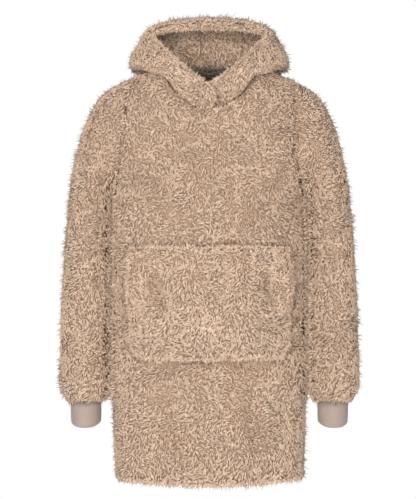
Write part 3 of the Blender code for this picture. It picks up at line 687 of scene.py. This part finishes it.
def knit_material(name, colour, wale_scale, mottle):
    """A fine weft knit: rows of small loops, with soft mottling."""
    material, tree, shader = material_base(name)
    place = tree.nodes.new("ShaderNodeTexCoord")
    cloud = add_node(tree, "ShaderNodeTexNoise", Scale=38.0, Detail=5.0, Roughness=0.6)
    cloud_range = add_node(
        tree, "ShaderNodeMapRange", To_Min=1.0 - mottle, To_Max=1.0 + mottle
    )
    shade = tree.nodes.new("ShaderNodeMix")
    shade.data_type = "RGBA"
    shade.blend_type = "MULTIPLY"
    shade.inputs["Factor"].default_value = 1.0
    shade.inputs["A"].default_value = colour
    courses = add_node(tree, "ShaderNodeTexWave", Scale=wale_scale, Distortion=1.5)
    courses.bands_direction = "Z"
    loops = add_node(tree, "ShaderNodeTexNoise", Scale=wale_scale * 4.0, Detail=2.0)
    height = tree.nodes.new("ShaderNodeMath")
    height.operation = "ADD"
    bump = add_node(tree, "ShaderNodeBump", Strength=0.35, Distance=0.0005)
    link = tree.links.new
    for texture in (cloud, courses, loops):
        link(place.outputs["Object"], texture.inputs["Vector"])
    link(cloud.outputs["Fac"], cloud_range.inputs["Value"])
    link(cloud_range.outputs["Result"], shade.inputs["B"])
    link(shaded(tree, shade.outputs["Result"]), shader.inputs["Base Color"])
    link(courses.outputs["Fac"], height.inputs[0])
    link(loops.outputs["Fac"], height.inputs[1])
    link(height.outputs["Value"], bump.inputs["Height"])
    link(bump.outputs["Normal"], shader.inputs["Normal"])
    shader.inputs["Roughness"].default_value = 0.88
    shader.inputs["Sheen Weight"].default_value = 0.25
    return material


def make_panel(panel, number, materials):
    """The backing and the pile of one fleece panel."""
    random = np.random.default_rng(100 + number)
    lining = panel.inward
    pile = LINING_PILE if lining else PILE
    backing = LINING_BACKING if lining else BACKING
    fine = read_sheet(panel, panel.inward, 2)
    coarse = read_sheet(panel, panel.inward, 1)
    parts = [spread_roots(fine, panel.density, random)]
    parts.append(edge_roots(fine, 2, panel.fringe, random))
    if panel.node in ("hood_left", "hood_right"):
        shorter_at_edges(parts[0], fine)
    if lining:
        edges = fine.points[fine.free_edges]
        # Painted shade on the lining near its free edges, for the shade of the hood's rim.
        parts[0].shade[:] -= RIM_SHADE * (
            1 - smooth_step(seam_distance(parts[0].points, edges) / RIM_REACH)
        )
    roots = stood_up(uncovered(joined(parts), panel.under), panel.beside)
    cloth = cloth_piece(f"{panel.node}_cloth", coarse, pile, backing, materials[:2])
    pelt = pile_piece(f"{panel.node}_pile", panel, roots, pile, random, materials[2])
    together = [pelt]
    if panel.node in ("hood_left", "hood_right"):
        together.append(facing_piece(panel, random, materials[2]))
    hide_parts(panel.node)
    triangles = sum(len(piece.data.polygons) for piece in (cloth, *together))
    print(f"{panel.node}: {len(roots.points)} locks, {triangles} triangles, "
          f"{len(fine.free_edges)} free and {len(fine.seams)} sewn edges")
    return triangles


def facing_piece(panel, random, material):
    """Pile on the hood's inside, between its edges and its lining."""
    inside = read_sheet(panel, True, 2)
    roots = spread_roots(inside, panel.density, random)
    lining = TREES[panel.node.replace("hood_", "hood_lining_")]
    shown = np.array(
        [lining.find_nearest(Vector(p), FACING_CLEAR)[0] is None for p in roots.points]
    )
    roots = kept(roots, shown)
    roots.long[:] = FACING_LENGTH
    name = f"{panel.node}_facing_pile"
    # As pile of the lining's kind, it gets the lining's painted light and the painted shade in
    # the neck.
    return pile_piece(name, panel, roots, LINING_PILE, random, material)


def make_cuff(node, material, hem_material):
    """A smooth folded cuff with a few soft wrinkles below the sleeve, and painted shade at its
    top and lower edge.
    """
    solid, _ = node_tree(node)
    bmesh.ops.join_triangles(
        solid, faces=solid.faces, angle_face_threshold=math.pi, angle_shape_threshold=math.pi
    )
    mesh = bpy.data.meshes.new(node)
    solid.to_mesh(mesh)
    solid.free()
    points, normals, faces = subdivided(mesh, 2)
    low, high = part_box(node)
    angle = np.arctan2(points[:, 1] - (low.y + high.y) / 2, points[:, 0] - (low.x + high.x) / 2)
    up = (points[:, 2] - low.z) / (high.z - low.z)
    ripple = np.sin(angle * 7 + 3 * up) + 0.6 * np.sin(angle * 12 - 5 * up + 1.0)
    points = points + normals * (0.0007 * ripple * smooth_step((up - 0.35) / 0.5))[:, None]
    piece = mesh_piece(f"{node}_knit", points, faces, [material, hem_material])
    # Painted shade: darker above CUFF_SHADE_TOP, in the sleeve's shade, and a little darker
    # along the bottom fold.
    under_sleeve = smooth_step((CUFF_SHADE_TOP - points[:, 2]) / 0.012)
    fold = smooth_step((points[:, 2] - low.z) / 0.004)
    add_shade(piece, (0.55 + 0.45 * under_sleeve) * (0.80 + 0.20 * fold))
    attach(piece, "root")
    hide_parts(node)
    return len(faces)


def make_camera():
    data = bpy.data.cameras.new("camera")
    data.sensor_fit = "AUTO"
    data.sensor_width = 36.0
    data.lens = 36.0 * CAMERA_DISTANCE / (PHOTO_HEIGHT * METRES_PER_PIXEL)
    data.dof.use_dof = False
    camera = bpy.data.objects.new("camera", data)
    camera.location = (CAMERA_X, -CAMERA_DISTANCE, CAMERA_Z)
    camera.rotation_euler = (math.pi / 2, 0.0, 0.0)
    bpy.context.scene.collection.objects.link(camera)
    bpy.context.scene.camera = camera


def area_light(name, place, target, size, watts):
    data = bpy.data.lights.new(name, "AREA")
    data.shape = "RECTANGLE"
    data.size, data.size_y = size
    data.energy = watts
    light = bpy.data.objects.new(name, data)
    light.location = place
    aim = Vector(target) - Vector(place)
    light.rotation_euler = aim.to_track_quat("-Z", "Y").to_euler()
    bpy.context.scene.collection.objects.link(light)


def make_stage():
    """A pale floor far enough below that the garment hangs as on a standing wearer."""
    mesh = bpy.data.meshes.new("floor")
    shape = bmesh.new()
    bmesh.ops.create_circle(shape, cap_ends=True, radius=1.7, segments=96)
    shape.to_mesh(mesh)
    shape.free()
    floor = bpy.data.objects.new("floor", mesh)
    floor.location = (0.0, 0.0, FLOOR_Z)
    bpy.context.scene.collection.objects.link(floor)
    material, _, shader = material_base("pale_floor")
    shader.inputs["Base Color"].default_value = (0.86, 0.86, 0.86, 1.0)
    shader.inputs["Roughness"].default_value = 0.9
    mesh.materials.append(material)


def make_light():
    """Soft light from the front and a little above, in white surroundings."""
    world = bpy.data.worlds.new("studio")
    bpy.context.scene.world = world
    world.use_nodes = True
    tree = world.node_tree
    shown = tree.nodes["Background"]
    shown.inputs["Color"].default_value = (1.0, 1.0, 1.0, 1.0)
    shown.inputs["Strength"].default_value = 1.0
    lighting = add_node(tree, "ShaderNodeBackground", Strength=0.22)
    lighting.inputs["Color"].default_value = (1.0, 0.985, 0.97, 1.0)
    path = tree.nodes.new("ShaderNodeLightPath")
    mix = tree.nodes.new("ShaderNodeMixShader")
    tree.links.new(path.outputs["Is Camera Ray"], mix.inputs["Fac"])
    tree.links.new(lighting.outputs["Background"], mix.inputs[1])
    tree.links.new(shown.outputs["Background"], mix.inputs[2])
    tree.links.new(mix.outputs["Shader"], tree.nodes["World Output"].inputs["Surface"])
    middle = (0.0, 0.0, -0.4)
    area_light("key", (-0.25, -3.3, -0.40), middle, (1.8, 1.0), 118.0)
    area_light("top", (-0.7, -2.9, 1.4), middle, (1.8, 1.4), 22.0)
    area_light("back", (0.0, 3.2, 0.6), middle, (2.6, 2.0), 70.0)
    bpy.context.scene.view_settings.view_transform = "Standard"


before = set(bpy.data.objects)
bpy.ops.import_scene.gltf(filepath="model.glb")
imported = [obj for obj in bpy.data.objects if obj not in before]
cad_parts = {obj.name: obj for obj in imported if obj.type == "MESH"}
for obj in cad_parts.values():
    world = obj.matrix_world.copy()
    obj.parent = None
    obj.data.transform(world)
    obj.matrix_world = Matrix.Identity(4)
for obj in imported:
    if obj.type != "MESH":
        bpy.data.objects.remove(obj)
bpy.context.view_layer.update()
TREES = {node: node_tree(node)[1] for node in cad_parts}
pile_material = fleece_pile_material()
backing_material = fleece_backing_material()
inner_material = knit_material("fleece_inner_knit", KNIT_COLOUR, 420.0, 0.10)
cuff_material = knit_material("cuff_jersey_knit", CUFF_COLOUR, 620.0, 0.09)
total = 0
for number, panel in enumerate(PANELS):
    total += make_panel(panel, number, (backing_material, inner_material, pile_material))
for cuff in ("cuff_left", "cuff_right"):
    total += make_cuff(cuff, cuff_material, cuff_material)
print(f"{total} triangles in all")
make_camera()
make_light()
make_stage()
